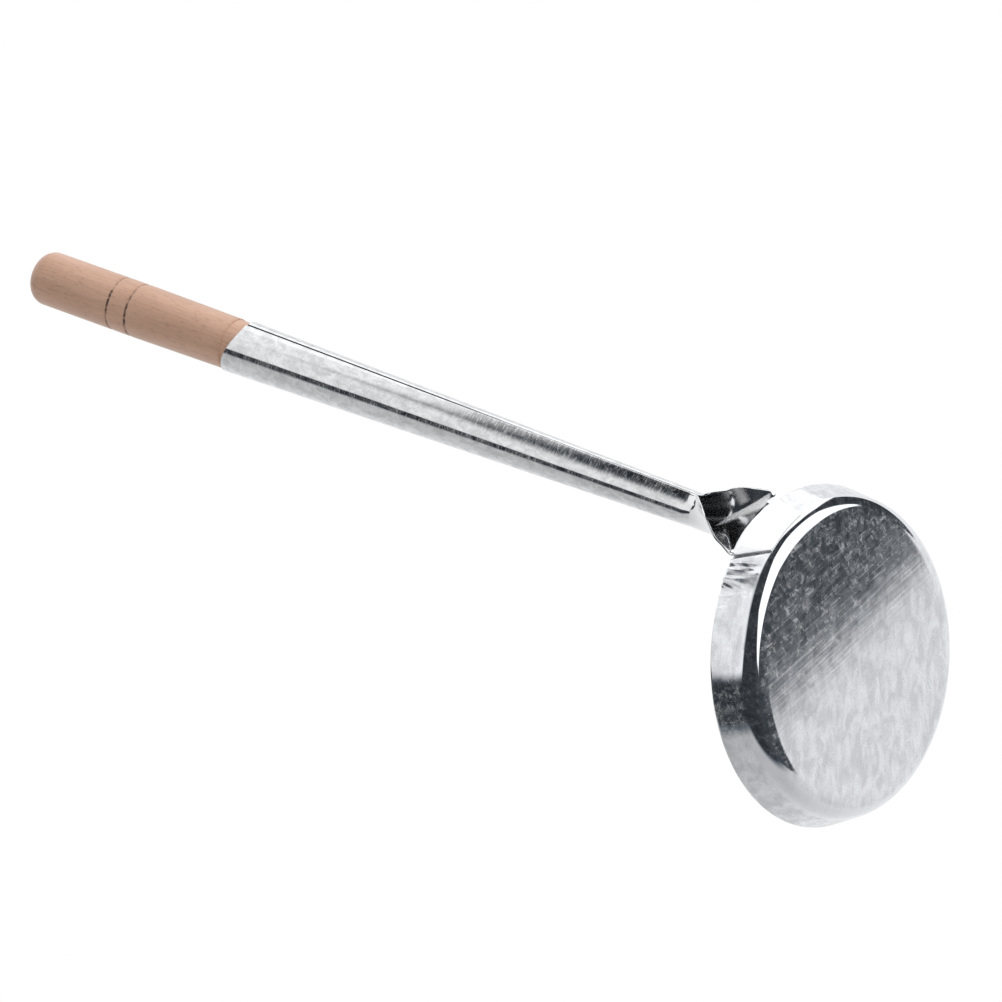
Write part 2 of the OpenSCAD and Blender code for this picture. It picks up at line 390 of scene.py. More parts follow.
def neck_section(t):
    """A section of the open neck, from the saddle's top at 0 to the closed tube at 1."""
    first = saddle_section(SADDLE_Z1)
    last = tube_section(NECK_LEN)
    along = np.array([math.sin(LEAN), math.cos(LEAN)])
    controls = [first["mid"], first["mid"] + np.array([-NECK_DIP, NECK_DIP_Z]),
                last["mid"] - NECK_LEAD * along, last["mid"]]
    shares = [(1 - t) ** 3, 3 * t * (1 - t) ** 2, 3 * t * t * (1 - t), t ** 3]
    mid = sum(c * w for c, w in zip(controls, shares))

    def between(key, share):
        return first[key] + (last[key] - first[key]) * share

    neck = section(mid, between("tilt", t), between("half_width", t),
                   between("half_angle", t ** NECK_CURL), between("turn", t))
    neck["flat"] = last["flat"] * smooth_step(t, 0.7, 1.0)
    neck["lip"] = swell(t, *LIP_OPEN) - swell(t, *LIP_CLOSE)
    return neck


def section_points(sec, shares):
    """The section's points at shares of its half width."""
    bend = sec["half_angle"]
    if abs(bend) < 1e-4:
        bend = 1e-4
    r = sec["half_width"] / bend
    angle = bend * (shares + sec["turn"]) - sec.get("lip", 0.0) * np.maximum(shares, 0.0) ** 3
    by_seam = np.maximum(0.0, 1 - bend * (1 + shares) / LIP_ANGLE)
    reach = r + sec.get("flat", 0.0) * by_seam ** 2
    y = reach * np.sin(angle)
    h = r - reach * np.cos(angle)
    x = sec["mid"][0] + h * math.cos(sec["tilt"])
    z = sec["mid"][1] - h * math.sin(sec["tilt"])
    return np.stack([x, y, z], axis=-1)


def strip_grid():
    """The middle surface of the whole strip: rows along its length, columns across it."""
    shares = strip_shares()
    bend_z = SADDLE_Z1 - BEND_HEIGHT
    saddle_z = np.linspace(SADDLE_Z0, bend_z - BEND_HEIGHT / BEND_ROWS, SADDLE_ROWS).tolist()
    saddle_z += np.linspace(bend_z, SADDLE_Z1, BEND_ROWS + 1).tolist()
    neck_t = np.linspace(0, BEND_SHARE, BEND_ROWS + 1)[1:].tolist()
    neck_t += np.linspace(BEND_SHARE, 1, NECK_ROWS)[1:].tolist()
    tube_s = np.linspace(NECK_LEN, SHANK_LEN - END_RUN, TUBE_ROWS)[1:]
    sections = [saddle_section(z) for z in saddle_z]
    bend_row = len(sections) - 1
    sections += [neck_section(t) for t in neck_t] + [tube_section(s) for s in tube_s]
    grid = np.array([section_points(sec, shares) for sec in sections])
    grid = bent_by_hand(grid, saddle_z, neck_t, shares)
    grid = press_floor(grid, bend_row, neck_t, shares)
    grid = round_bend(grid, bend_row)
    return np.concatenate([grid, socket_end()])


def strip_shares():
    """Shares of the half width across the strip. Half a thickness outside them is left for its edges."""
    return np.linspace(-1, 1, ACROSS + 1)


def bent_by_hand(grid, saddle_z, neck_t, shares):
    """Moves the saddle to one side round the pan, springs its corner out and draws the near lip in."""
    z, t = np.array(saddle_z), np.array(neck_t)
    along_tube = np.zeros(len(grid) - len(z) - len(t))
    up = np.concatenate([(z - SADDLE_Z0) / (SADDLE_Z1 - SADDLE_Z0), np.ones(len(t)), along_tube + 1])
    fade = np.concatenate([np.ones(len(z)), 1 - smooth_step(t, 0.0, SIDE_FADE), along_tube])
    sprung = np.concatenate([smooth_step(z, SPRING_Z, SADDLE_Z1), 1 - smooth_step(t, 0.0, SPRING_FADE),
                             along_tube])
    drawn = smooth_step(t, *NEAR_IN_FROM) * (1 - smooth_step(t, *NEAR_IN_TO))
    drawn_in = np.concatenate([np.zeros(len(z)), drawn, along_tube])
    side = (SIDE_FOOT + (SIDE_RIM - SIDE_FOOT) * up)[:, None] + SIDE_SPREAD * up[:, None] * shares[None]
    turn = side * fade[:, None] / RIM_R
    out = 1 + CORNER_SPRING / RIM_R * sprung[:, None] * smooth_step(shares, SPRING_FROM, 1.0)[None]
    x = grid[..., 0]
    y = grid[..., 1] + NEAR_IN * drawn_in[:, None] * np.maximum(0.0, -shares)[None] ** 2
    return np.stack([out * (x * np.cos(turn) - y * np.sin(turn)),
                     out * (x * np.sin(turn) + y * np.cos(turn)), grid[..., 2]], axis=-1)


def across(row, shares, at):
    """Points of one row of the strip at any shares of its half width."""
    return np.stack([np.interp(at, shares, row[:, k]) for k in range(3)], axis=-1)


def press_floor(grid, bend_row, neck_t, shares):
    """Presses the neck to a cone between the fold and a point in its trough, with a flap on each side."""
    first = bend_row + 1
    pressed_rows = sum(1 for t in neck_t if t < FLOOR_END)
    fold = grid[bend_row].copy()
    point = across(grid[first + pressed_rows], shares, np.array([FLOOR_SHARE]))[0]
    pressed = grid.copy()
    for i in range(pressed_rows):
        old = grid[first + i]
        keep = 1 - neck_t[i] / FLOOR_END
        spread = np.clip((shares - FLOOR_SHARE) / keep + FLOOR_SHARE, -1, 1)
        new = point + keep * (across(fold, shares, spread) - point)
        new[:, 0] += FLOOR_TWIST * spread * 4 * keep * (1 - keep)
        for end, column in ((-1.0, 0), (1.0, -1)):
            fall = FLOOR_SHARE + (end - FLOOR_SHARE) * keep
            flap = (shares - fall) * end > 0
            run = ((shares - fall) / (end - fall))[flap, None]
            corner = point + keep * (fold[column] - point)
            bulge = old[flap] - across(old, shares, fall) * (1 - run) - old[column] * run
            new[flap] = corner * (1 - run) + old[column] * run + bulge
        pressed[first + i] = new
    part = pressed[first:first + len(neck_t)]
    for _ in range(FLOOR_PASSES):
        part[:, 1:-1] = (part[:, :-2] + 2 * part[:, 1:-1] + part[:, 2:]) / 4
    return pressed


def round_bend(grid, row):
    """Rounds the bend over the rim: spaces the rows near it evenly and averages them."""
    part = slice(row - BEND_ROWS, row + BEND_ROWS + 1)
    near = grid[part].copy()
    steps = np.linalg.norm(np.diff(near, axis=0), axis=-1)
    run = np.concatenate([np.zeros((1, near.shape[1])), np.cumsum(steps, axis=0)])
    for j in range(near.shape[1]):
        even = np.linspace(0.0, run[-1, j], len(near))
        near[:, j] = np.stack([np.interp(even, run[:, j], near[:, j, k].copy()) for k in range(3)], axis=-1)
    for _ in range(BEND_PASSES):
        near[1:-1] = (near[:-2] + 2 * near[1:-1] + near[2:]) / 4
    grid[part] = near
    return grid


def socket_end():
    """The tube's last rows, which run out to an end that falls back on a curve towards the seam."""
    shares = strip_shares()
    start = SHANK_LEN - END_RUN
    from_seam = math.pi * (1 - np.abs(shares))
    off = SOCKET_R * np.sin(from_seam)
    cut = CORNER_CUT / 2 * (1 + np.cos(from_seam)) - (END_R - np.sqrt(END_R ** 2 - off * off))
    rows = []
    for i in range(1, END_ROWS + 1):
        s = start + (END_RUN - cut) * i / END_ROWS
        columns = [section_points(tube_section(value), shares[j:j + 1])[0] for j, value in enumerate(s)]
        rows.append(np.array(columns))
    return np.array(rows)


def unit(v):
    return v / np.linalg.norm(v, axis=-1, keepdims=True)


def grid_normals(grid):
    """Unit normals of a grid of points."""
    return unit(np.cross(np.gradient(grid, axis=0), np.gradient(grid, axis=1)))


def strip_edge(grid, normal, column, towards, turns):
    """Points round one edge of the sheet, squarer than a half circle."""
    points = []
    for a in turns:
        up = np.sign(math.sin(a)) * abs(math.sin(a)) ** EDGE_SQUARE
        out = abs(math.cos(a)) ** EDGE_SQUARE
        points.append(grid[:, column] + STRIP_T / 2 * (up * normal[:, column] + out * towards))
    return points


def strip_end_faces(rows, ring_n):
    """Faces that close the strip at its first and last rows."""
    last = (rows - 1) * ring_n
    far_corner = 2 * (ACROSS + 1) + EDGE_STEPS - 1
    faces = []
    for j in range(ACROSS):
        back = far_corner - j
        faces.append((j + 1, j, back, back - 1))
        faces.append((last + j, last + j + 1, last + back - 1, last + back))
    first_edge = list(range(ACROSS, ACROSS + EDGE_STEPS + 2))
    second_edge = list(range(far_corner, ring_n)) + [0]
    for ends in (first_edge, second_edge):
        faces.append(tuple(reversed(ends)))
        faces.append(tuple(last + i for i in ends))
    return faces


def make_shank(material):
    """The strip: its middle surface moved half a thickness each way, with rounded edges."""
    grid = strip_grid()
    normal = grid_normals(grid)
    half = STRIP_T / 2
    bends = np.radians(np.linspace(90, -90, EDGE_STEPS + 2))[1:-1]
    columns = [grid[:, j] + half * normal[:, j] for j in range(ACROSS + 1)]
    columns += strip_edge(grid, normal, -1, unit(grid[:, -1] - grid[:, -2]), bends)
    columns += [grid[:, j] - half * normal[:, j] for j in range(ACROSS, -1, -1)]
    columns += strip_edge(grid, normal, 0, unit(grid[:, 0] - grid[:, 1]), -bends)
    rings = np.stack(columns, axis=1)
    faces = ring_faces(*rings.shape[:2]) + strip_end_faces(*rings.shape[:2])
    outward = [face[:1] + face[:0:-1] for face in faces]
    return add_piece("shank_rolled", rings.reshape(-1, 3), outward, material, "shank")


# Grip and nail

# Mesh of the grip, and the small bevels at the tenon's end and at the shoulder
GRIP_TURNS = 144
TENON_BEVEL = 1.0
TENON_FIRST = 6.0
TENON_ROWS = 12
SHOULDER_GAP = 0.02
SHOULDER_BEVEL = (0.1, 0.12)
GRIP_FIRST = 1.5
GRIP_ROWS = 46
BUTT_ROWS = 14
BUTT_RINGS = 4
# The score lines wander a little along the grip, in long and short waves, and vary in depth by this share.
GROOVE_DEPTH = 0.42
GROOVE_VARY = 0.25
GROOVE_WANDER = (0.12, 0.07)
GROOVE_SHARP = 1.4
GROOVE_REACH = 0.8
GROOVE_ROWS = 13


def grip_radius(s):
    """Radius of the turned grip beyond its shoulder, without the grooves."""
    shoulder_r = tube_r(SHANK_LEN) - STRIP_T - TENON_CLEAR + SHOULDER_STEP
    straight_s = BUTT_S - GROOVE_BACK - GROOVE_PITCH - GROOVE_W
    return shoulder_r + (GRIP_R - shoulder_r) * min(1.0, (s - SHANK_LEN) / (straight_s - SHANK_LEN))


def grip_outline():
    """Half outline of the grip along its axis, from the tenon's end to the butt, as (radius, s)."""
    tenon_s = SHANK_LEN - TENON_LEN

    def tenon_r(s):
        return tube_r(s) - STRIP_T - TENON_CLEAR

    shoulder_r = grip_radius(SHANK_LEN)
    points = [(tenon_r(tenon_s) - TENON_BEVEL, tenon_s), (tenon_r(tenon_s), tenon_s + TENON_BEVEL)]
    tenon = np.linspace(tenon_s + TENON_FIRST, SHANK_LEN - SHOULDER_GAP, TENON_ROWS)
    points += [(tenon_r(s), s) for s in tenon]
    points += [(shoulder_r - SHOULDER_BEVEL[0], SHANK_LEN), (shoulder_r, SHANK_LEN + SHOULDER_BEVEL[1])]
    stations = set(np.round(np.linspace(SHANK_LEN + GRIP_FIRST, BUTT_S - BUTT_R, GRIP_ROWS), 3))
    for groove in GROOVES:
        stations = {s for s in stations if abs(s - groove) > GROOVE_W}
        reach = np.linspace(-GROOVE_REACH, GROOVE_REACH, GROOVE_ROWS)
        stations |= set(np.round(groove + GROOVE_W * reach, 3))
    points += [(grip_radius(s), s) for s in sorted(stations)]
    centre = (GRIP_R - BUTT_R, BUTT_S - BUTT_R)
    points += arc(centre, BUTT_R, 0, 90, BUTT_ROWS)[1:]
    points += line(points[-1], (0.0, BUTT_S), BUTT_RINGS)[:-1]
    return np.array(points)


def make_grip(material):
    outline = grip_outline()
    turn = np.linspace(0, 2 * math.pi, GRIP_TURNS, endpoint=False)
    r = np.repeat(outline[:, 0:1], GRIP_TURNS, axis=1)
    s = np.repeat(outline[:, 1:2], GRIP_TURNS, axis=1)
    for i, groove in enumerate(GROOVES):
        wander = GROOVE_WANDER[0] * np.sin(3 * turn + 2 * i) + GROOVE_WANDER[1] * np.sin(7 * turn + i)
        deep = GROOVE_DEPTH * (1 - GROOVE_VARY + GROOVE_VARY * np.sin(5 * turn + 3 * i))
        off = (s - groove - wander[None]) / (GROOVE_W / 2)
        r = r - deep[None] * np.exp(-off * off * GROOVE_SHARP) * (s > SHANK_LEN)
    points, faces = turned(turn, r, s, ROOT, (O, Y, U), (outline[0, 1], outline[-1, 1]))
    return add_piece("grip_turned", points, faces, material, "grip")


# The nail's tip and point, the fillet under its head, and the head's bevel and side
NAIL_TURNS = 40
NAIL_TIP_R = 0.15
NAIL_POINT = 2.2
NAIL_FILLET = (0.15, 0.05)
NAIL_BEVEL = 0.1
NAIL_SIDE = 0.25
NAIL_DOME = (15, 80, 8)


def make_nail(material):
    """A wire nail on the handle's inner side, with a low domed head and a pointed end."""
    r = NAIL_D / 2
    head_r = NAIL_HEAD_D / 2
    outline = [(NAIL_TIP_R, -NAIL_LEN), (r, -NAIL_LEN + NAIL_POINT)]
    outline += [(r, -NAIL_FILLET[1]), (r + NAIL_FILLET[0], 0.0)]
    outline += [(head_r - NAIL_BEVEL, 0.0), (head_r, NAIL_BEVEL), (head_r, NAIL_SIDE)]
    outline += [(head_r * math.cos(a), NAIL_SIDE + (NAIL_HEAD_T - NAIL_SIDE) * math.sin(a))
                for a in np.radians(np.linspace(*NAIL_DOME))]
    outline = np.repeat(np.array(outline)[:, :, None], NAIL_TURNS, axis=2)
    turn = np.linspace(0, 2 * math.pi, NAIL_TURNS, endpoint=False)
    seat = ROOT + NAIL_S * U - tube_r(NAIL_S) * O
    points, faces = turned(turn, outline[:, 0], outline[:, 1], seat, (U, Y, -O), (-NAIL_LEN, NAIL_HEAD_T))
    return add_piece("nail_driven", points, faces, material, "grip_nail")


# Materials

class Nodes:
    """A short way to write a node tree: add() makes a node, sets its inputs and links what is linked."""

    def __init__(self, tree):
        self.tree = tree
        tree.nodes.clear()

    def add(self, kind, settings=None, **inputs):
        node = self.tree.nodes.new(kind)
        for name, value in (settings or {}).items():
            setattr(node, name, value)
        for name, value in inputs.items():
            key = int(name[1:]) if name[0] == "i" and name[1:].isdigit() else name.replace("_", " ")
            self.put(node, key, value)
        return node

    def put(self, node, key, value):
        if isinstance(value, bpy.types.NodeSocket):
            self.tree.links.new(value, node.inputs[key])
        else:
            node.inputs[key].default_value = value

    def math(self, operation, a, b=0.0, c=0.0):
        return self.add("ShaderNodeMath", {"operation": operation}, i0=a, i1=b, i2=c).outputs[0]

    def vector(self, operation, a, b=(0, 0, 0)):
        node = self.add("ShaderNodeVectorMath", {"operation": operation}, i0=a, i1=b)
        return node.outputs["Value" if operation in ("DOT_PRODUCT", "LENGTH") else "Vector"]

    def plus(self, a, b):
        return self.vector("ADD", a, b)

    def dot(self, a, b):
        return self.vector("DOT_PRODUCT", a, b)

    def most(self, a, b):
        return self.math("MAXIMUM", a, b)

    def scaled(self, a, scale):
        return self.add("ShaderNodeVectorMath", {"operation": "SCALE"}, i0=a, Scale=scale).outputs[0]

    def ramp(self, value, low, high, to_low=0.0, to_high=1.0, smooth=True):
        kind = "SMOOTHSTEP" if smooth else "LINEAR"
        settings = {"interpolation_type": kind, "clamp": True}
        node = self.add("ShaderNodeMapRange", settings, Value=value, From_Min=low, From_Max=high,
                        To_Min=to_low, To_Max=to_high)
        return node.outputs["Result"]

    def noise(self, where, scale, detail=2.0, roughness=0.5, distortion=0.0):
        node = self.add("ShaderNodeTexNoise", Vector=where, Scale=scale, Detail=detail,
                        Roughness=roughness, Distortion=distortion)
        return node.outputs["Fac"]

    def mix(self, share, a, b, blend="MIX"):
        node = self.add("ShaderNodeMix", {"data_type": "RGBA", "blend_type": blend}, i0=share, i6=a, i7=b)
        return node.outputs[2]

    def times(self, value, *others):
        for other in others:
            value = self.math("MULTIPLY", value, other)
        return value

    def blend(self, share, a, b):
        return self.add("ShaderNodeMixShader", i0=share, i1=a.outputs[0], i2=b.outputs[0])

    def xyz(self, where):
        return self.add("ShaderNodeSeparateXYZ", Vector=where).outputs


def plain(v):
    """A direction or place as a tuple of plain numbers."""
    return tuple(float(x) for x in v)


def in_metres(lengths):
    """Lengths in millimetres as the metres of the frame."""
    return tuple(v * MM for v in lengths)


def opaque(colour, share=1.0):
    """A colour, or a share of it, with its alpha."""
    return tuple(share * c for c in colour) + (1.0,)


def new_material(name):
    material = bpy.data.materials.new(name)
    material.use_nodes = True
    n = Nodes(material.node_tree)
    return material, n, n.add("ShaderNodeTexCoord").outputs["Object"]


def finish_material(n, shader):
    n.add("ShaderNodeOutputMaterial", Surface=shader.outputs[0])


def stretched(n, where, lengthwise, long_scale, cross_scale):
    """Coordinates that a noise draws out along one direction: both scales count features per metre."""
    run = n.scaled(plain(lengthwise), n.dot(where, plain(lengthwise)))
    cross = n.vector("SUBTRACT", where, run)
    return n.plus(n.scaled(run, long_scale), n.scaled(cross, cross_scale))


# Noises in the zinc coat: features per metre, detail, roughness, distortion and offset
COAT = {
    "cloud": (90.0, 3.0, 0.6, 0.5, (0.0, 0.0, 0.0)),
    "speck": (520.0, 4.0, 0.62, 1.0, (0.31, 0.17, 0.05)),
    "pit": (330.0, 4.0, 0.7, 0.6, (0.53, 0.11, 0.27)),
    "blot": (300.0, 3.0, 0.6, 0.3, (0.07, 0.29, 0.19)),
}
# The spangle's strokes: features per metre along and across them, and the offsets of the two sets
FEATHER = (150.0, 620.0)
FEATHER_OFFSETS = ((0.13, 0.07, 0.41), (0.23, 0.37, 0.11))
GLOSS_ROUGH = (0.042, 0.06)
MATTE_ROUGH = (0.7, 0.85)
MATTE_LIFT = 1.08
# Painted colours: dark for a reflection and for shade in the tube, pale for light, near black for seam shade
PAINTED_DARK_COLOUR = (0.16, 0.165, 0.175, 1.0)
PAINTED_LIGHT_COLOUR = (0.97, 0.975, 0.98, 1.0)
SEAM_SHADE_COLOUR = (0.012, 0.012, 0.013, 1.0)
# Faint waves tilt the surface, more on the pan's wall than elsewhere, and so do the rolling streaks.
WAVES = 260.0
WAVE_TILT = 0.004
WALL_WAVE_TILT = 0.03
STREAK_LEAN = 0.0036


def feathers(n, where, lengthwise, offset):
    """Short pale strokes of spangle, drawn out one way."""
    spread = stretched(n, n.plus(where, offset), lengthwise, *FEATHER)
    return n.ramp(n.noise(spread, 1.0, 3.0, 0.65, 0.35), 0.5, 0.72)


def coat_noises(n, where):
    """The noises of the zinc coat by name."""
    return {kind: n.noise(n.plus(where, values[4]), *values[:4]) for kind, values in COAT.items()}


def dull_share(n, where, roll, dull, coat, place, streak):
    """Share of dull metal: clouds, two sets of strokes, blots, specks and streaks, less the pits."""
    base, stroke, blot = dull
    cross = unit(np.cross(roll, (0.3, 0.2, 0.93)) - 0.25 * roll)
    strokes = n.most(feathers(n, where, roll, FEATHER_OFFSETS[0]),
                     feathers(n, where, cross, FEATHER_OFFSETS[1]))
    grown = n.ramp(coat["cloud"], 0.34, 0.62, 0.35, 1.0, smooth=False)
    share = n.ramp(coat["cloud"], 0.32, 0.68, 0.35 * base, 1.65 * base, smooth=False)
    share = n.math("MULTIPLY_ADD", n.times(strokes, grown), stroke, share)
    share = n.math("MULTIPLY_ADD", n.ramp(coat["blot"], 0.42, 0.68), blot, share)
    share = n.math("MULTIPLY_ADD", n.ramp(coat["speck"], 0.55, 0.7), 0.6 * stroke, share)
    share = n.times(share, n.ramp(coat["pit"], 0.47, 0.57, 1.0, 0.05), place["dull"])
    share = n.math("MULTIPLY_ADD", n.ramp(streak, 0.5, 0.74), place["streaks"], share)
    # The painted light and the painted shade in the seam are matte too.
    return n.most(share, n.most(place["painted_light"], place["seam_shade"]))


def sheet_colour(n, tint, patchy, place, streak):
    """Colour of the gloss: paler and darker patches, with a painted dark reflection and painted shade."""
    patch = n.ramp(n.noise(place["patches"], 1.0, 3.0, 0.62, 0.6), 0.32, 0.68)
    colour = n.mix(n.times(patch, place["dull"]), opaque(tint), opaque(tint, patchy))
    # Painted dark reflection beside the seam, then painted shade inside the tube
    colour = n.mix(n.times(n.ramp(streak, 0.66, 0.4), place["dark_reflection"]), colour, PAINTED_DARK_COLOUR)
    return n.mix(place["inside"], colour, PAINTED_DARK_COLOUR)


def sheet_normal(n, where, roll, place, streak):
    """The surface's normal, tilted by faint waves and by the rolling streaks."""
    lean = plain(unit(np.cross(roll, (0.0, 0.0, -1.0))) * STREAK_LEAN)
    waves = n.add("ShaderNodeTexNoise", Vector=where, Scale=WAVES, Detail=3.0).outputs["Color"]
    tilt = n.scaled(n.vector("SUBTRACT", waves, (0.5, 0.5, 0.5)), place["waves"])
    tilt = n.plus(tilt, n.scaled(lean, n.ramp(streak, 0.4, 0.72)))
    normal = n.add("ShaderNodeNewGeometry").outputs["Normal"]
    return n.vector("NORMALIZE", n.plus(normal, tilt))


def galvanised(name, roll, tint, dull, patchy, places):
    """Zinc-coated sheet: a smooth gloss under dull feathery spangle, with rolling streaks."""
    material, n, where = new_material(name)
    roll = unit(np.array(roll))
    coat = coat_noises(n, where)
    place = places(n, where)
    streak = n.noise(place["lines"], 1.0, 2.0, 0.6)
    share = dull_share(n, where, roll, dull, coat, place, streak)
    colour = sheet_colour(n, tint, patchy, place, streak)
    normal = sheet_normal(n, where, roll, place, streak)
    rough = n.ramp(coat["cloud"], 0.3, 0.7, *GLOSS_ROUGH, smooth=False)
    rough = n.most(rough, place["rough"])
    gloss = n.add("ShaderNodeBsdfPrincipled", Base_Color=colour, Metallic=1.0, Roughness=rough,
                  Normal=normal)
    matte_colour = n.mix(coat["speck"], colour, opaque(tint, MATTE_LIFT))
    # The pale colour paints light and a reflection, and the near black one paints shade in the seam.
    matte_colour = n.mix(place["painted_light"], matte_colour, PAINTED_LIGHT_COLOUR)
    matte_colour = n.mix(place["seam_shade"], matte_colour, SEAM_SHADE_COLOUR)
    rough = n.ramp(coat["speck"], 0.3, 0.7, *MATTE_ROUGH, smooth=False)
    matte = n.add("ShaderNodeBsdfPrincipled", Base_Color=matte_colour, Roughness=rough, Normal=normal)
    finish_material(n, n.blend(share, gloss, matte))
    return material


# The pan's sheet was rolled one way, and its darker patches are drawn out another way. The metal of the
# bottom's rounded edge stays bright, from the first heights to the second.
PAN_ROLL = (-0.208, 0.978, 0.0)
PAN_GRAIN = (0.762, 0.648, 0.0)
PAN_PATCHES = (140.0, 280.0)
PAN_LINES = (40.0, 3800.0)
PAN_STREAKS = 0.17
BRIGHT_FROM = (0.1, 0.6)
BRIGHT_TO = (3.6, 5.6)
BRIGHT_DULL = 0.25
WALL_FROM = (5.0, 8.0)


def pan_places(n, where):
    """The drawn metal of the bottom's rounded edge stays brighter than the flat bottom and the wall."""
    height = n.xyz(where)[2]
    low = n.ramp(height, *in_metres(BRIGHT_FROM), 1.0, BRIGHT_DULL)
    dull = n.most(low, n.ramp(height, *in_metres(BRIGHT_TO)))
    return dict(
        dull=dull,
        lines=stretched(n, where, unit(np.array(PAN_ROLL)), *PAN_LINES),
        patches=stretched(n, where, PAN_GRAIN, *PAN_PATCHES),
        waves=n.ramp(height, *in_metres(WALL_FROM), WAVE_TILT, WALL_WAVE_TILT),
        streaks=n.times(dull, PAN_STREAKS),
        painted_light=0.0, dark_reflection=0.0, inside=0.0, seam_shade=0.0, rough=0.0)


# A pale dull patch on the neck's floor paints a bright reflection beside its far fold, which runs from this
# point in the trough to the corner at the rim, in (y, z). The patch is widest at the corner and ends at
# FLOOR_OUT in x. A smaller painted reflection lies on the flap beyond it, from FLAP_OUT in x.
FOLD_POINT = (0.7, 25.4)
FOLD_CORNER = (13.6, 14.0)
FLOOR_REFLECTION_FADE = (0.04, 0.5)
FLOOR_REFLECTION_BEHIND = 1.5
FLOOR_REFLECTION = 1.0
FLOOR_OUT = (50.8, 51.3)
FLAP_REFLECTION = 0.6
FLAP_REFLECTION_AT = 9.5
FLAP_REFLECTION_FADE = (0.3, 2.4)
FLAP_OUT = (51.8, 52.8)
# A pale dull band paints light over the shade of the saddle's sheared edge, along this line in (y, z)
EDGE_FOOT = (-6.0, 3.9)
EDGE_RIM = (-11.4, 13.7)
EDGE_PAINTED_LIGHT = 0.5


def beside_line(n, where, start, stop):
    """Distances from the start of a line in (y, z): along it, and off it to one side."""
    y, z = unit(np.array(stop) - np.array(start)).tolist()
    from_start = n.vector("SUBTRACT", where, in_metres((0.0,) + start))
    along = n.dot(from_start, (0.0, y, z))
    return along, n.dot(from_start, (0.0, z, -y))


def neck_painted_reflection(n, where):
    """Share of pale dull metal that paints a reflection on the neck's pressed floor."""
    run, off = beside_line(n, where, FOLD_POINT, FOLD_CORNER)
    out, _, height = n.xyz(where)
    width = n.most(n.math("ADD", run, FLOOR_REFLECTION_BEHIND * MM), 0.1 * MM)
    floor = n.times(n.ramp(n.math("DIVIDE", off, width), *FLOOR_REFLECTION_FADE, FLOOR_REFLECTION, 0.0),
                    n.ramp(off, -0.6 * MM, 0.1 * MM), n.ramp(run, -2.0 * MM, 1.0 * MM),
                    n.ramp(out, *in_metres(FLOOR_OUT), 1.0, 0.0))
    aside = n.math("ABSOLUTE", n.math("SUBTRACT", run, FLAP_REFLECTION_AT * MM))
    flap = n.times(n.ramp(aside, *in_metres(FLAP_REFLECTION_FADE), FLAP_REFLECTION, 0.0),
                   n.ramp(out, *in_metres(FLAP_OUT)))
    above = n.ramp(height, (SADDLE_Z1 + 0.1) * MM, (SADDLE_Z1 + 0.9) * MM)
    return n.times(n.most(floor, flap), above)


def saddle_edge(n, where):
    """Share of pale dull metal that paints light over the saddle's sheared edge."""
    off = n.math("ABSOLUTE", beside_line(n, where, EDGE_FOOT, EDGE_RIM)[1])
    return n.times(n.ramp(off, 0.35 * MM, 0.6 * MM, EDGE_PAINTED_LIGHT, 0.0),
                   n.ramp(n.xyz(where)[2], EDGE_RIM[1] * MM, (EDGE_RIM[1] + 0.5) * MM, 1.0, 0.0))


# Distances along the handle over which the neck's bright metal gives way to the tube's spangle
TUBE_FROM = (14.0, 26.0)
NECK_DULL = 0.1
NECK_FOOT = (0.5, 2.0)
NECK_TOP = (15.0, 21.0)
NECK_ROUGH = 0.13
TUBE_STREAKS = 0.3
# Painted shade darkens the sheet's edges in the seam, within this distance of it, and most towards the
# socket.
SEAM_SHADE = (0.45, 0.8)
SEAM_SHADE_ALONG = (60.0, 110.0)
# The lip beside the seam carries a painted dark reflection: where it starts and ends along the handle, how
# far from the seam it sets in, and over what turns from the seam it fades.
DARK_REFLECTION = 0.6
DARK_REFLECTION_START = (18.0, 24.0)
DARK_REFLECTION_ALONG = (88.0, 106.0)
DARK_REFLECTION_BESIDE = (0.0, 1.0)
DARK_REFLECTION_TURN = (0.55, 0.95)
# The inside of the tube is dull and darkened by painted shade, from these distances along it.
INSIDE_ALONG = (8.5, 12.5)
INSIDE_SHADE = 0.75
INSIDE_ROUGH = 0.26


def along_handle(n, where):
    """Place from the handle's root, distance along the handle, and the direction out from its axis."""
    from_root = n.vector("SUBTRACT", where, plain(ROOT * MM))
    along = n.dot(from_root, plain(U))
    spoke = n.vector("NORMALIZE", n.vector("SUBTRACT", from_root, n.scaled(plain(U), along)))
    return from_root, along, spoke


def seam_marks(n, from_root, along, spoke):
    """Shares of painted shade in the seam and of a painted dark reflection on one side of it."""
    seam_way = math.cos(SEAM_TURN) * O + math.sin(SEAM_TURN) * Y
    past_seam = n.dot(from_root, plain(np.cross(seam_way, U)))
    to_seam = n.dot(spoke, plain(seam_way))
    seam_shade = n.times(n.ramp(n.math("ABSOLUTE", past_seam), *in_metres(SEAM_SHADE), 1.0, 0.0),
                   n.ramp(to_seam, 0.0, 0.5), n.ramp(along, *in_metres(SEAM_SHADE_ALONG)))
    dark_reflection = n.times(n.ramp(along, *in_metres(DARK_REFLECTION_ALONG), DARK_REFLECTION, 0.0),
                    n.ramp(n.math("ARCCOSINE", to_seam), *DARK_REFLECTION_TURN, 1.0, 0.0),
                    n.ramp(past_seam, *in_metres(DARK_REFLECTION_BESIDE)), n.ramp(along, *in_metres(DARK_REFLECTION_START)))
    return seam_shade, dark_reflection


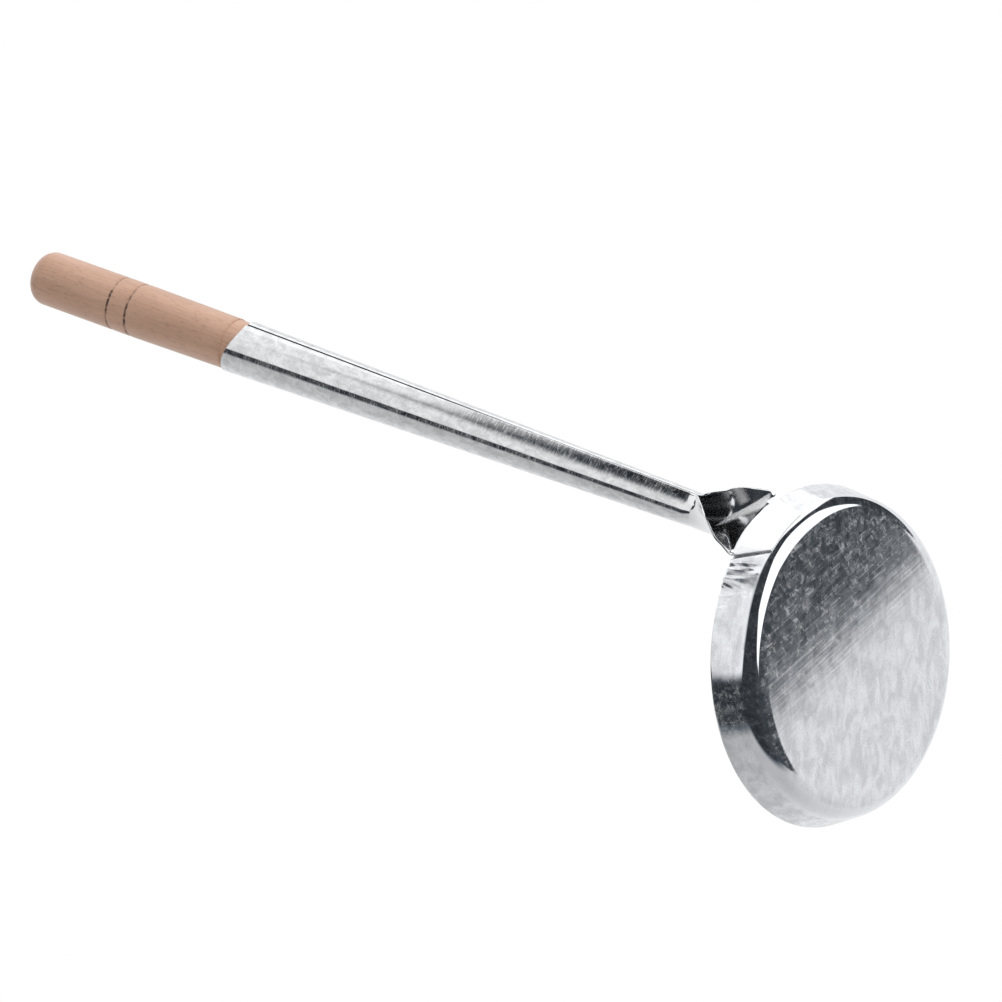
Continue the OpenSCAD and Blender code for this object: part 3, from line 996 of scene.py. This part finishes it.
def shank_places(n, where):
    """Bright in the neck, with full spangle along the tube, streaks round it and painted shade in its seam.
    """
    from_root, along, spoke = along_handle(n, where)
    run = n.scaled(plain(U), along)
    seam_shade, dark_reflection = seam_marks(n, from_root, along, spoke)
    on_tube = n.ramp(along, *in_metres(TUBE_FROM), NECK_DULL, 1.0)
    outward = n.dot(n.add("ShaderNodeNewGeometry").outputs["Normal"], spoke)
    inside = n.times(n.ramp(outward, -0.6, -0.1, 1.0, 0.0), n.ramp(along, *in_metres(INSIDE_ALONG)))
    in_neck = n.times(n.ramp(along, *in_metres(NECK_TOP), NECK_ROUGH, 0.0),
                      n.ramp(along, *in_metres(NECK_FOOT)))
    return dict(
        dull=on_tube,
        lines=n.plus(n.scaled(run, 2400.0), n.scaled(spoke, 3.0)),
        patches=n.plus(n.scaled(run, 330.0), n.scaled(spoke, 3.6)),
        waves=WAVE_TILT,
        streaks=n.times(on_tube, TUBE_STREAKS),
        # Painted light and reflection, a painted dark reflection, and painted shade inside the tube and in
        # the seam
        painted_light=n.most(neck_painted_reflection(n, where), saddle_edge(n, where)),
        dark_reflection=dark_reflection,
        inside=n.times(inside, INSIDE_SHADE),
        seam_shade=seam_shade,
        rough=n.most(in_neck, n.times(inside, INSIDE_ROUGH)))


# The score lines are burnt dark on the side that faces this way, and pale round the rest of the grip. The
# burn fades out between these distances from a line.
SCORCH_SIDE = (0.30, -0.92, -0.25)
SCORCH_FADE = (0.58, 0.2)
# The butt is worn darker over this length.
WORN_LEN = 7.0
WOOD = {
    "pale": (0.72, 0.435, 0.30, 1.0),
    "dark": (0.61, 0.345, 0.225, 1.0),
    "fibre": (0.45, 0.245, 0.16, 1.0),
    "fleck": (0.36, 0.185, 0.11, 1.0),
    "worn": (0.42, 0.235, 0.155, 1.0),
    "burnt": (0.075, 0.032, 0.018, 1.0),
}


def score_burn(n, where, along, spoke):
    """Share of burnt wood in the score lines."""
    scorch = 0.0
    for groove in GROOVES:
        off = n.math("ABSOLUTE", n.math("SUBTRACT", along, groove * MM))
        scorch = n.most(scorch, n.ramp(off, *in_metres(SCORCH_FADE)))
    breaks = n.ramp(n.noise(where, 460.0, 2.0, 0.6), 0.4, 0.58, 0.2, 1.0)
    burnt = n.ramp(n.dot(spoke, SCORCH_SIDE), 0.1, 0.75, 0.25, 1.0)
    return n.times(scorch, breaks, burnt)


def beech(name):
    """Bare turned beech: pinkish tan, with fine fibres, short dark flecks and burnt score lines."""
    material, n, where = new_material(name)
    broad = n.noise(stretched(n, where, U, 14.0, 90.0), 1.0, 3.0, 0.55, 0.6)
    fibre = n.noise(stretched(n, where, U, 70.0, 1700.0), 1.0, 3.0, 0.7)
    fleck = n.noise(stretched(n, where, U, 420.0, 2300.0), 1.0, 1.0, 0.5)
    _, along, spoke = along_handle(n, where)
    colour = n.mix(n.ramp(broad, 0.3, 0.72), WOOD["pale"], WOOD["dark"])
    colour = n.mix(n.ramp(fibre, 0.42, 0.72, 0.0, 0.42), colour, WOOD["fibre"])
    colour = n.mix(n.ramp(fleck, 0.58, 0.72, 0.0, 0.45), colour, WOOD["fleck"])
    worn = n.ramp(along, (BUTT_S - WORN_LEN) * MM, BUTT_S * MM, 0.0, 0.35)
    colour = n.mix(worn, colour, WOOD["worn"])
    colour = n.mix(score_burn(n, where, along, spoke), colour, WOOD["burnt"])
    height = n.math("MULTIPLY_ADD", fleck, -0.5, fibre)
    bump = n.add("ShaderNodeBump", Strength=0.2, Distance=0.0002, Height=height)
    rough = n.ramp(fibre, 0.3, 0.7, 0.46, 0.6, smooth=False)
    shader = n.add("ShaderNodeBsdfPrincipled", Base_Color=colour, Roughness=rough,
                   Normal=bump.outputs[0], Specular_IOR_Level=0.5, Sheen_Weight=0.55,
                   Sheen_Roughness=0.5, Sheen_Tint=(1.0, 0.97, 0.95, 1.0))
    finish_material(n, shader)
    return material


def bright_steel(name, tint, low, high):
    """Plain steel of the small pieces: fine pits and a mottled gloss."""
    material, n, where = new_material(name)
    mottle = n.noise(where, 900.0, 4.0, 0.6)
    pits = n.noise(where, 3200.0, 2.0, 0.5)
    colour = n.mix(n.ramp(mottle, 0.35, 0.7), opaque(tint), opaque(tint, 0.6))
    rough = n.ramp(mottle, 0.3, 0.7, low, high, smooth=False)
    bump = n.add("ShaderNodeBump", Strength=0.15, Distance=0.0001, Height=pits)
    shader = n.add("ShaderNodeBsdfPrincipled", Base_Color=colour, Metallic=1.0, Roughness=rough,
                   Normal=bump.outputs[0])
    finish_material(n, shader)
    return material


# Stage: floor, light and camera

# The light comes as in the photograph: a pale table, a dark room round it, and bright panels over it.
# STUDIO_UP stands on that table, and STUDIO_FRONT points along it towards the camera.
STUDIO_UP = np.array([0.798, 0.139, -0.586])
STUDIO_FRONT = np.array([-0.118, -0.918, -0.379])
# Each panel is a convex shape on a map of the sky, in degrees from straight above: to the camera's right
# and to the front. Its corners come first, then its level and the softness of its edge.
PANELS = (
    (((-2.3, -12.8), (10.3, 19.4), (39.2, 34.5), (49.1, 32.0), (45.5, -3.0)), 1.4, 2.0),
    (((-2.3, -12.8), (10.3, 19.4), (45.5, -3.0), (59.5, -23.0), (59.8, -48.5), (53.7, -53.7),
      (24.9, -47.9), (2.4, -27.4)), 1.4, 2.0),
    (((-41.5, 32.0), (-36.5, -30.0), (-72.0, -30.0), (-79.0, -8.0), (-76.0, 23.0),
      (-56.5, 56.0)), 0.92, 7.0),
    (((-45.0, 40.0), (-54.0, 58.0), (-80.0, 34.0), (-77.0, 10.0)), 0.92, 2.5),
    (((-45.5, 3.0), (-10.5, -58.0), (-12.0, -88.0), (-50.0, -72.0), (-79.0, -30.0),
      (-79.0, 0.0)), 1.05, 2.0),
    (((-40.0, -27.7), (0.8, -46.5), (10.0, -60.0), (7.0, -92.0), (-40.0, -90.0)), 1.3, 2.0),
)
# The table is paler at the back than at the front, and the room is paler to the right. The bright parts are
# nearly neutral, and the dark room is bluish.
TABLE_BACK = 0.88
TABLE_FRONT = 0.5
ROOM_LEFT = 0.03
ROOM_RIGHT = 0.05
LIGHT_TONE = (0.985, 0.99, 1.0, 1.0)
ROOM_TONE = (0.78, 0.94, 1.12, 1.0)
# The table reaches to the further of two front edges. Each is given by a heading, turned from the front to
# the right, and by how far below the horizon it lies there, in degrees.
TABLE_EDGES = ((-27.0, 16.5), (11.8, 20.4))
# The table's far edge dips by this much one way, given to the front and to the right.
DIP_WAY = (-0.80, 0.60)
DIP = 0.13
# Softness of the table's front edges and of its far edge
FRONT_SOFT = 0.09
FAR_SOFT = 0.006


def studio_axes():
    """Unit directions up from the table, along it to the front, and along it to the camera's right."""
    up = unit(STUDIO_UP)
    front = unit(STUDIO_FRONT - STUDIO_FRONT.dot(up) * up)
    return up, front, np.cross(up, front)


def sky_map(n, rise, ahead, aside):
    """Degrees from straight above, to the right and to the front."""
    level = n.math("SQRT", n.math("SUBTRACT", 1.0, n.times(rise, rise)))
    down = n.times(n.math("ARCCOSINE", rise), math.degrees(1.0))
    scale = n.math("DIVIDE", down, n.most(level, 1e-4))
    return n.times(aside, scale), n.times(ahead, scale)


def panel_light(n, right, front, panel):
    """Level of one bright panel at a place on the map of the sky, with a soft edge."""
    corners, level, soft = panel
    corners = np.array(corners)
    middle = corners.mean(axis=0)
    inside = 1000.0
    for a, b in zip(corners, np.roll(corners, -1, axis=0)):
        inward = unit(np.array([b[1] - a[1], a[0] - b[0]]))
        inward = inward if inward.dot(middle - a) > 0 else -inward
        depth = n.math("MULTIPLY_ADD", front, float(inward[1]), float(-inward.dot(a)))
        inside = n.math("MINIMUM", inside, n.math("MULTIPLY_ADD", right, float(inward[0]), depth))
    return n.ramp(inside, -soft, soft, 0.0, level)


def table_light(n, rise, ahead, aside):
    """Level of the table in a direction. It ends at its front edges, short of the camera."""
    past_edge = 1.0
    for turn, drop in np.radians(TABLE_EDGES).tolist():
        outward = n.math("MULTIPLY_ADD", ahead, math.cos(turn), n.times(aside, math.sin(turn)))
        past = n.math("MULTIPLY_ADD", rise, math.cos(drop), n.times(outward, math.sin(drop)))
        past_edge = n.math("MINIMUM", past_edge, past)
    on_table = n.ramp(past_edge, -FRONT_SOFT, FRONT_SOFT, 1.0, 0.0)
    beyond = n.math("MULTIPLY_ADD", ahead, DIP_WAY[0], n.times(aside, DIP_WAY[1]))
    over = n.math("ADD", rise, n.ramp(beyond, 0.86, 0.985, 0.0, DIP))
    below = n.ramp(over, -FAR_SOFT, FAR_SOFT, 1.0, 0.0)
    return n.times(below, n.ramp(ahead, -0.3, 0.8, TABLE_BACK, TABLE_FRONT, smooth=False), on_table)


def make_world():
    """White behind the object, and round it the table, the room and the panels that light it."""
    world = bpy.data.worlds.new("studio")
    bpy.context.scene.world = world
    world.use_nodes = True
    n = Nodes(world.node_tree)
    way = n.vector("NORMALIZE", n.add("ShaderNodeTexCoord").outputs["Generated"])
    rise, ahead, aside = [n.dot(way, plain(axis)) for axis in studio_axes()]
    right, front = sky_map(n, rise, ahead, aside)
    level = n.ramp(aside, 0.3, 0.9, ROOM_LEFT, ROOM_RIGHT)
    level = n.most(level, table_light(n, rise, ahead, aside))
    for panel in PANELS:
        level = n.most(level, panel_light(n, right, front, panel))
    tone = n.mix(n.ramp(level, 0.05, 0.4), ROOM_TONE, LIGHT_TONE)
    light = n.add("ShaderNodeBackground", Color=tone, Strength=level)
    white = n.add("ShaderNodeBackground", Color=(1, 1, 1, 1), Strength=1.0)
    seen = n.add("ShaderNodeLightPath").outputs["Is Camera Ray"]
    n.add("ShaderNodeOutputWorld", Surface=n.blend(seen, light, white).outputs[0])


# Soft lamps behind the object and in front of it, which light the wood and the dull metal and don't show in
# the gloss: the way they come from, the level and the angle they fill
LAMPS = {
    "lamp_behind": ((0.55, 0.80, -0.23), 1.4, 60.0),
    "lamp_before": ((-0.05, -0.83, -0.56), 0.8, 90.0),
}


def make_lamp(name, way, level, angle):
    data = bpy.data.lights.new(name, "SUN")
    data.energy = level
    data.angle = math.radians(angle)
    lamp = bpy.data.objects.new(name, data)
    bpy.context.scene.collection.objects.link(lamp)
    lamp.rotation_mode = "QUATERNION"
    lamp.rotation_quaternion = Vector(way).to_track_quat("Z", "Y")
    lamp.visible_glossy = False


# The floor's radius, how far it lies below the pan, and where it fades to white, in metres
FLOOR_R = 4.0
FLOOR_DROP = 0.0003
FLOOR_FADE = (0.3, 1.1)


def make_floor():
    """A pale floor under the pan, which fades to the white behind it and is clear from below."""
    bpy.ops.mesh.primitive_circle_add(vertices=96, radius=FLOOR_R, fill_type="NGON",
                                      location=(0, 0, -FLOOR_DROP))
    floor = bpy.context.object
    floor.name = "floor"
    material, n, where = new_material("pale_floor")
    far = n.ramp(n.vector("LENGTH", where), *FLOOR_FADE)
    tone = n.mix(n.noise(where, 9.0, 3.0), (0.86, 0.86, 0.86, 1), (0.9, 0.9, 0.9, 1))
    matte = n.add("ShaderNodeBsdfDiffuse", Color=tone)
    white = n.add("ShaderNodeEmission", Color=(1, 1, 1, 1), Strength=1.0)
    clear = n.add("ShaderNodeBsdfTransparent")
    below = n.add("ShaderNodeNewGeometry").outputs["Backfacing"]
    finish_material(n, n.blend(below, n.blend(far, matte, white), clear))
    floor.data.materials.append(material)
    for rays in ("diffuse", "glossy", "transmission", "shadow"):
        setattr(floor, "visible_" + rays, False)


# The photograph's camera: its place, its azimuth from -Y and its elevation, its roll and its focal length
CAMERA_AT = (0.67696, -0.67201, -0.75385)
CAMERA_AZIMUTH = math.radians(42.665)
CAMERA_ELEVATION = math.radians(-43.262)
CAMERA_ROLL = math.radians(-88.45)
SENSOR = 36.0
FOCAL_PIXELS = 4200.0
PHOTO_PIXELS = 1002.0


def make_camera():
    data = bpy.data.cameras.new("camera")
    data.sensor_width = SENSOR
    data.lens = SENSOR * FOCAL_PIXELS / PHOTO_PIXELS
    data.clip_start = 0.01
    data.clip_end = 50.0
    camera = bpy.data.objects.new("camera", data)
    bpy.context.scene.collection.objects.link(camera)
    camera.rotation_mode = "XYZ"
    aim = (Matrix.Rotation(CAMERA_AZIMUTH, 3, "Z")
           @ Matrix.Rotation(math.pi / 2 - CAMERA_ELEVATION, 3, "X")
           @ Matrix.Rotation(CAMERA_ROLL, 3, "Z"))
    camera.matrix_world = Matrix.Translation(CAMERA_AT) @ aim.to_4x4()
    bpy.context.scene.camera = camera


bpy.context.scene.view_settings.view_transform = "Standard"

# The strip's sheet was rolled across the handle, along Y.
pan_zinc = galvanised("zinc_pan", PAN_ROLL, (0.90, 0.915, 0.94), (0.055, 0.40, 0.08), 0.76, pan_places)
shank_zinc = galvanised("zinc_shank", Y, (0.89, 0.895, 0.905), (0.08, 0.16, 0.0), 0.74, shank_places)
wood = beech("beech_bare")
nail_steel = bright_steel("steel_nail", (0.55, 0.55, 0.57), 0.25, 0.45)
weld_steel = bright_steel("steel_weld", (0.46, 0.46, 0.47), 0.35, 0.6)

make_pan(pan_zinc)
make_shank(shank_zinc)
make_grip(wood)
make_nail(nail_steel)
for weld_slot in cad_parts["spot_welds"].material_slots:
    weld_slot.material = weld_steel
make_world()
for lamp_name, lamp_values in LAMPS.items():
    make_lamp(lamp_name, *lamp_values)
make_floor()
make_camera()
